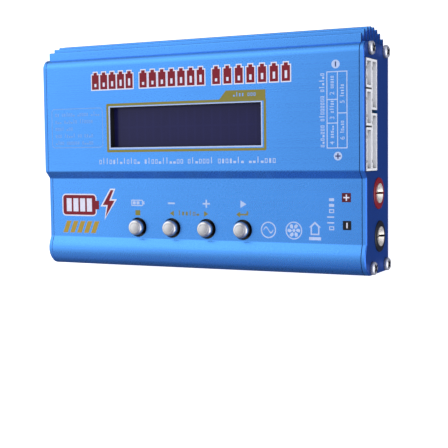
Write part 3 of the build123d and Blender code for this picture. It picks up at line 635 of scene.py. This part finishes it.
# ------------------------------------------------------------------ lower panel graphics
BOLT = [(1.2, 5.2), (-2.6, -0.6), (-0.3, -0.6), (-1.4, -5.2), (2.8, 1.1), (0.4, 1.1), (2.4, 5.2)]
bolt = moved(BOLT, -38.6, -19.1)
BOLT_LIFT = 0.01
TERMINAL_LIFT = 0.012
print_on("emblem_bolt_edge", [grown(bolt, 0.6)], LOWER_Z + BOLT_LIFT, INK_WHITE)
print_on("emblem_bolt", [bolt], LOWER_Z + BOLT_LIFT + OVERPRINT, INK_RED)
emblem_battery = box(-59.9, -23.7, -44.6, -15.9, 1.2)
emblem_terminal = box(-44.6, -21.5, -43.0, -18.1)
print_on("emblem_battery_edge", [grown(emblem_battery, 0.5)], LOWER_Z, INK_WHITE)
print_on("emblem_terminal", [emblem_terminal], LOWER_Z + TERMINAL_LIFT, INK_RED)
BAR_COUNT = 4
BAR_PITCH = 3.2
BAR = box(-58.3, -22.4, -55.9, -17.2)
bars = [moved(BAR, i * BAR_PITCH, 0.0) for i in range(BAR_COUNT)]
print_on("emblem_battery", [emblem_battery, *bars], LOWER_Z + OVERPRINT, INK_RED)

STRIPE_COUNT = 5
STRIPE_PITCH = 3.3
STRIPE = [(-60.2, -30.8), (-58.1, -30.8), (-56.2, -26.2), (-58.3, -26.2)]
STRIPE_EDGE = 0.22
gold_stripes = [moved(STRIPE, i * STRIPE_PITCH, 0.0) for i in range(STRIPE_COUNT)]
stripe_edges = [grown(shape, STRIPE_EDGE) for shape in gold_stripes]
print_on("emblem_stripes_edge", stripe_edges, LOWER_Z, INK_GREY)
print_on("emblem_stripes", gold_stripes, LOWER_Z + OVERPRINT, INK_AMBER)

BUTTONS = ("battery_type", "decrease", "increase", "start")

# raised ring round the crown of each cap: its section as (radius, depth under the cap's top)
CROWN_RING = [
    (2.02, 0.40), (2.0, 0.20), (1.94, 0.10), (1.84, 0.05), (1.74, 0.10), (1.70, 0.20), (1.68, 0.40),
]
RING_STEPS = 72


def crown_ring(button):
    """Turns the ring's section round the middle of the button's cap."""
    low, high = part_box(f"{button}_button")
    middle = (low + high) / 2
    points, faces = [], []
    count = len(CROWN_RING)
    for step in range(RING_STEPS):
        angle = math.tau * step / RING_STEPS
        here = step * count
        following = (step + 1) % RING_STEPS * count
        for i, (radius, depth) in enumerate(CROWN_RING):
            x = middle.x + radius * MM * math.cos(angle)
            y = middle.y + radius * MM * math.sin(angle)
            points.append((x, y, high.z - depth * MM))
            beside = (i + 1) % count
            faces.append((here + i, following + i, following + beside, here + beside))
    mesh = bpy.data.meshes.new(f"{button}_crown_ring")
    mesh.from_pydata(points, [], faces)
    mesh.materials.append(MATERIALS["button_chrome"])
    for face in mesh.polygons:
        face.use_smooth = True
    piece = bpy.data.objects.new(f"{button}_crown_ring", mesh)
    scene.collection.objects.link(piece)
    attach(piece, f"{button}_key")


for button in BUTTONS:
    crown_ring(button)

button_xs = [sum(corner.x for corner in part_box(f"{button}_button")) / 2 / MM for button in BUTTONS]
battery_x, down_x, up_x, start_x = button_xs

# the rows of signs behind the buttons
white_y, gold_y = -18.7, -22.5
SIGN_REACH = 1.5
SIGN_HALF = 0.3
icons_white = [
    *hollow_box(battery_x - 2.9, white_y - 1.2, battery_x + 2.3, white_y + 1.2, 0.3, 0.4),
    box(battery_x + 2.4, white_y - 0.6, battery_x + 3.0, white_y + 0.6),
    box(battery_x - 2.2, white_y - 0.55, battery_x - 0.9, white_y + 0.55),
    box(battery_x - 0.5, white_y - 0.55, battery_x + 0.8, white_y + 0.55),
    box(down_x - SIGN_REACH, white_y - SIGN_HALF, down_x + SIGN_REACH, white_y + SIGN_HALF),
    box(up_x - SIGN_REACH, white_y - SIGN_HALF, up_x + SIGN_REACH, white_y + SIGN_HALF),
    box(up_x - SIGN_HALF, white_y + SIGN_HALF, up_x + SIGN_HALF, white_y + SIGN_REACH),
    box(up_x - SIGN_HALF, white_y - SIGN_REACH, up_x + SIGN_HALF, white_y - SIGN_HALF),
    triangle(start_x, white_y, 1.6, 0),
]
print_on("button_icons", icons_white, LOWER_Z, INK_PALE)
icons_gold = [
    box(battery_x - 1.1, gold_y - 1.0, battery_x + 1.1, gold_y + 1.0),
    triangle(down_x + 0.4, gold_y, 1.2, 180),
    triangle(up_x - 0.4, gold_y, 1.2, 0),
    [
        (start_x + 2.2, gold_y + 1.2), (start_x + 1.6, gold_y + 1.2), (start_x + 1.6, gold_y + 0.3),
        (start_x - 1.0, gold_y + 0.3), (start_x - 1.0, gold_y + 1.1), (start_x - 2.6, gold_y),
        (start_x - 1.0, gold_y - 1.1), (start_x - 1.0, gold_y - 0.3), (start_x + 2.2, gold_y - 0.3),
    ],
]
icons_gold += tick_text(down_x + 2.9, up_x - 2.6, gold_y, 1.9, (6,), 5)
print_on("button_icons_gold", icons_gold, LOWER_Z, INK_GOLD)

# three plain pictograms: alternating current, cooling fan and a small house
sign_y = -27.85
WAVE_STEPS = 16
WAVE_X = 27.6
WAVE_LENGTH = 3.8
WAVE_HALF_LINE = 0.28
print_on("sign_mains_ring", ring(29.5, sign_y, 3.0, 0.45), LOWER_Z, INK_PALE)
wave = []
for step in range(WAVE_STEPS + 1):
    share = step / WAVE_STEPS
    wave.append((WAVE_X + WAVE_LENGTH * share, sign_y + math.sin(math.tau * share)))
wave_band = [(x, y + WAVE_HALF_LINE) for x, y in wave]
wave_band += [(x, y - WAVE_HALF_LINE) for x, y in reversed(wave)]
print_on("sign_mains_wave", [wave_band], LOWER_Z, INK_PALE)

FAN_X = 39.4
FAN_BLADES = 6
BLADE = [(0.7, 0.1), (1.3, -0.5), (2.3, -0.6), (2.5, 0.3), (1.5, 0.75)]
fan = [*ring(FAN_X, sign_y, 3.2, 0.4), disc(FAN_X, sign_y, 0.55)]
fan += [moved(BLADE, FAN_X, sign_y, turn=360 / FAN_BLADES * i) for i in range(FAN_BLADES)]
print_on("sign_fan", fan, LOWER_Z, INK_PALE)

roof = [(45.2, -26.6), (47.45, -24.5), (49.7, -26.6)]
house = [*roof, (49.1, -26.6), (49.1, -29.3), (45.8, -29.3), (45.8, -26.6)]
house_inner = [(46.3, -26.4), (47.45, -25.3), (48.6, -26.4), (48.6, -28.8), (46.3, -28.8)]
print_on("sign_indoor", [house, house_inner, box(45.2, -31.1, 49.7, -30.0)], LOWER_Z, INK_PALE)

# output polarity
output_ticks = tick_text(-27.4, -15.4, 53.7, 2.6, (6,), 14, upright=False, line=LINE)
print_on("output_ticks", output_ticks, LOWER_Z, INK_PALE)
for name, x0, y0, x1, y1, ink in (
    ("plus", 57.5, -17.55, 60.8, -14.35, INK_MAROON),
    ("minus", 57.8, -27.25, 60.9, -24.05, INK_BLACK),
):
    print_on(f"output_{name}_badge", [box(x0, y0, x1, y1)], LOWER_Z, ink)
    x, y = (x0 + x1) / 2, (y0 + y1) / 2
    mark = plus_mark(x, y, 1.1, 0.46) if name == "plus" else bar_mark(x, y, 0.95, 0.46)
    print_on(f"output_{name}_mark", [mark], LOWER_Z + OVERPRINT, INK_WHITE)


# ------------------------------------------------------------------ floor, light and camera
FLOOR_GLOW = 0.65


def floor_material():
    made = Surface("floor", (0.9, 0.9, 0.9, 1.0), roughness=0.9, Emission_Strength=FLOOR_GLOW)
    made.shader.inputs["Emission Color"].default_value = (1.0, 1.0, 1.0, 1.0)
    made.layer(made.noise((12, 12, 12)), tone=0.01)
    return made.done()


bpy.ops.mesh.primitive_plane_add(size=40.0)
floor = bpy.context.object
floor.name = "floor"
floor.data.materials.append(floor_material())
floor.visible_glossy = False
floor.visible_diffuse = False


# radiance of the dome by the cosine to its bright side: a slow rise, then the broad patch of light
BRIGHT_SIDE = (-0.85, 0.36, 0.38)
RISE = (0.0, 0.6, 0.20, 0.62)
PATCH = (0.58, 0.95, 0.0, 1.35)
# the second patch, which the socket end faces
SOCKET_SIDE = (0.93, -0.05, 0.37)
SOCKET_PATCH = (0.25, 1.0, 0.0, 1.1)
# share of it that is left below the horizon, and well above it
HORIZON = (-0.15, 0.25, 0.45, 1.0)
# its colour away from the bright side, which turns white towards it
DIM_COLOUR = (0.88, 0.98, 1.62, 1.0)
WHITE_AT = (-0.05, 0.75, 0.0, 1.0)


def studio_world():
    """Soft dome with a patch of light to the left and one at the socket end, dark towards the horizon."""
    world = bpy.data.worlds.new("studio")
    world.use_nodes = True
    tree = world.node_tree
    background = tree.nodes["Background"]

    def make(kind, **settings):
        node = tree.nodes.new(kind)
        for key, value in settings.items():
            setattr(node, key, value)
        return node

    def ramp(value, numbers, interpolation="SMOOTHSTEP"):
        node = make("ShaderNodeMapRange", interpolation_type=interpolation)
        tree.links.new(value, node.inputs[0])
        for socket, number in zip(node.inputs[1:5], numbers):
            socket.default_value = number
        return node.outputs[0]

    def combine(operation, first, second):
        node = make("ShaderNodeMath", operation=operation)
        tree.links.new(first, node.inputs[0])
        tree.links.new(second, node.inputs[1])
        return node.outputs[0]

    direction = make("ShaderNodeTexCoord").outputs["Generated"]

    def cosine(towards):
        dot = make("ShaderNodeVectorMath", operation="DOT_PRODUCT")
        tree.links.new(direction, dot.inputs[0])
        dot.inputs[1].default_value = Vector(towards).normalized()
        return dot.outputs["Value"]

    split = make("ShaderNodeSeparateXYZ")
    tree.links.new(direction, split.inputs[0])
    bright = cosine(BRIGHT_SIDE)
    glow = combine("ADD", ramp(bright, RISE, "LINEAR"), ramp(bright, PATCH, "LINEAR"))
    socket_glow = ramp(cosine(SOCKET_SIDE), SOCKET_PATCH)
    glow = combine("ADD", glow, socket_glow)
    radiance = combine("MULTIPLY", glow, ramp(split.outputs["Z"], HORIZON))
    tree.links.new(radiance, background.inputs["Strength"])
    tint = make("ShaderNodeMix", data_type="RGBA")
    tree.links.new(combine("ADD", ramp(bright, WHITE_AT), socket_glow), tint.inputs[0])
    tint.inputs[6].default_value = DIM_COLOUR
    tint.inputs[7].default_value = (1.0, 1.0, 1.0, 1.0)
    tree.links.new(tint.outputs[2], background.inputs["Color"])
    return world


scene.world = studio_world()


def softbox(name, direction, distance, size, power):
    """Square area light that faces the middle of the case."""
    light = bpy.data.lights.new(name, "AREA")
    light.size = size
    light.energy = power
    lamp = bpy.data.objects.new(name, light)
    aim = Vector(direction).normalized()
    lamp.location = aim * distance
    lamp.rotation_mode = "QUATERNION"
    lamp.rotation_quaternion = aim.to_track_quat("Z", "Y")
    scene.collection.objects.link(lamp)


softbox("key", (-0.45, 0.52, 0.73), 1.2, 0.6, 0.5)
softbox("fill", (0.97, -0.2, 0.12), 1.0, 0.9, 4.4)

camera_data = bpy.data.cameras.new("camera")
camera_data.lens = 80.98
camera_data.sensor_width = 36.0
camera_data.clip_start = 0.01
camera = bpy.data.objects.new("camera", camera_data)
camera_right = (0.89517, -0.01226, -0.44556)
camera_up = (-0.02044, 0.99744, -0.06850)
camera_back = (0.44526, 0.07043, 0.89263)
camera_place = (0.176867, 0.000044, 0.358597)
turn = Matrix((camera_right, camera_up, camera_back)).transposed().to_4x4()
camera.matrix_world = Matrix.Translation(camera_place) @ turn
scene.collection.objects.link(camera)
scene.camera = camera
scene.view_settings.view_transform = "Standard"
